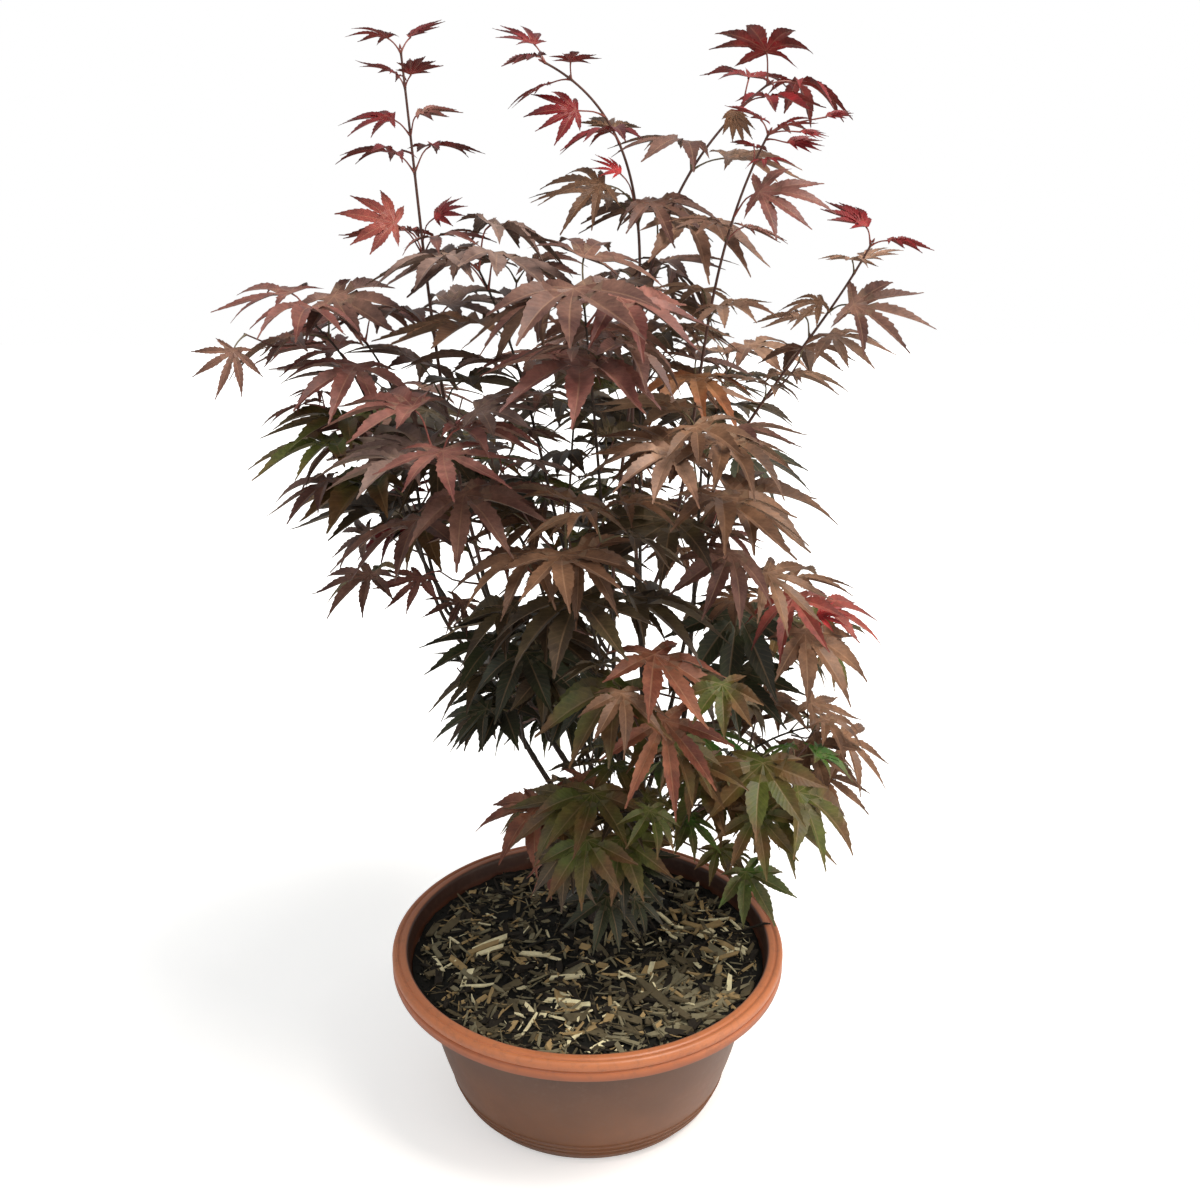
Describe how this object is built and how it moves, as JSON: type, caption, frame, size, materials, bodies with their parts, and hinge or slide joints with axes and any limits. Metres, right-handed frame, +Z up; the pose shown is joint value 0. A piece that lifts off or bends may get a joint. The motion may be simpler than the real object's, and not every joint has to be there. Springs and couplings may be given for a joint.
{
  "type": "potted japanese maple",
  "caption": "Young Japanese maple with thin dark stems and deeply cut red, bronze and green leaves, in a round terracotta-coloured bowl with a flanged rim and bark mulch.",
  "frame": {"origin": "centre of the bowl's flat underside", "axes": "+Z up, -Y towards the viewer of the picture, +X to the viewer's right"},
  "size_m": [0.4729, 0.4507, 0.7783],
  "materials": {
    "bowl": "moulded terracotta-coloured plastic, satin on the rim and duller on the wall",
    "mulch": "dark damp compost covered with bark chips",
    "bark": "smooth thin bark, nearly black low down and reddish on young shoots",
    "crimson_leaves": "thin leaf blades, deep red",
    "bronze_leaves": "thin leaf blades, bronze to rose brown",
    "green_leaves": "thin leaf blades, dark olive green"
  },
  "bodies": {
    "root": {"bowl": "bowl", "bark_mulch": "mulch", "trunk": "bark", "left_arching_bough": "bark", "left_upright_bough": "bark", "centre_bough": "bark", "centre_left_bough": "bark", "right_bough": "bark", "front_bough": "bark", "back_left_bough": "bark", "back_right_bough": "bark", "left_leader_foliage": "crimson_leaves", "middle_left_leader_foliage": "crimson_leaves", "middle_right_leader_foliage": "crimson_leaves", "right_leader_foliage": "crimson_leaves", "far_right_leader_foliage": "bronze_leaves", "left_arch_foliage": "bronze_leaves", "left_inner_foliage": "bronze_leaves", "left_front_foliage": "bronze_leaves", "centre_left_upper_foliage": "bronze_leaves", "centre_front_upper_foliage": "bronze_leaves", "right_front_foliage": "bronze_leaves", "coral_front_foliage": "bronze_leaves", "centre_front_foliage": "bronze_leaves", "right_middle_foliage": "bronze_leaves", "low_right_foliage": "green_leaves", "low_right_front_foliage": "green_leaves", "low_front_foliage": "green_leaves", "low_left_front_foliage": "green_leaves", "low_left_foliage": "green_leaves", "left_middle_foliage": "bronze_leaves", "back_left_foliage": "bronze_leaves", "back_foliage": "bronze_leaves", "back_right_foliage": "bronze_leaves", "back_low_right_foliage": "green_leaves", "back_low_left_foliage": "green_leaves", "back_upper_foliage": "bronze_leaves", "centre_low_foliage": "green_leaves", "centre_low_back_foliage": "green_leaves", "left_low_foliage": "bronze_leaves"}
  },
  "joints": []
}
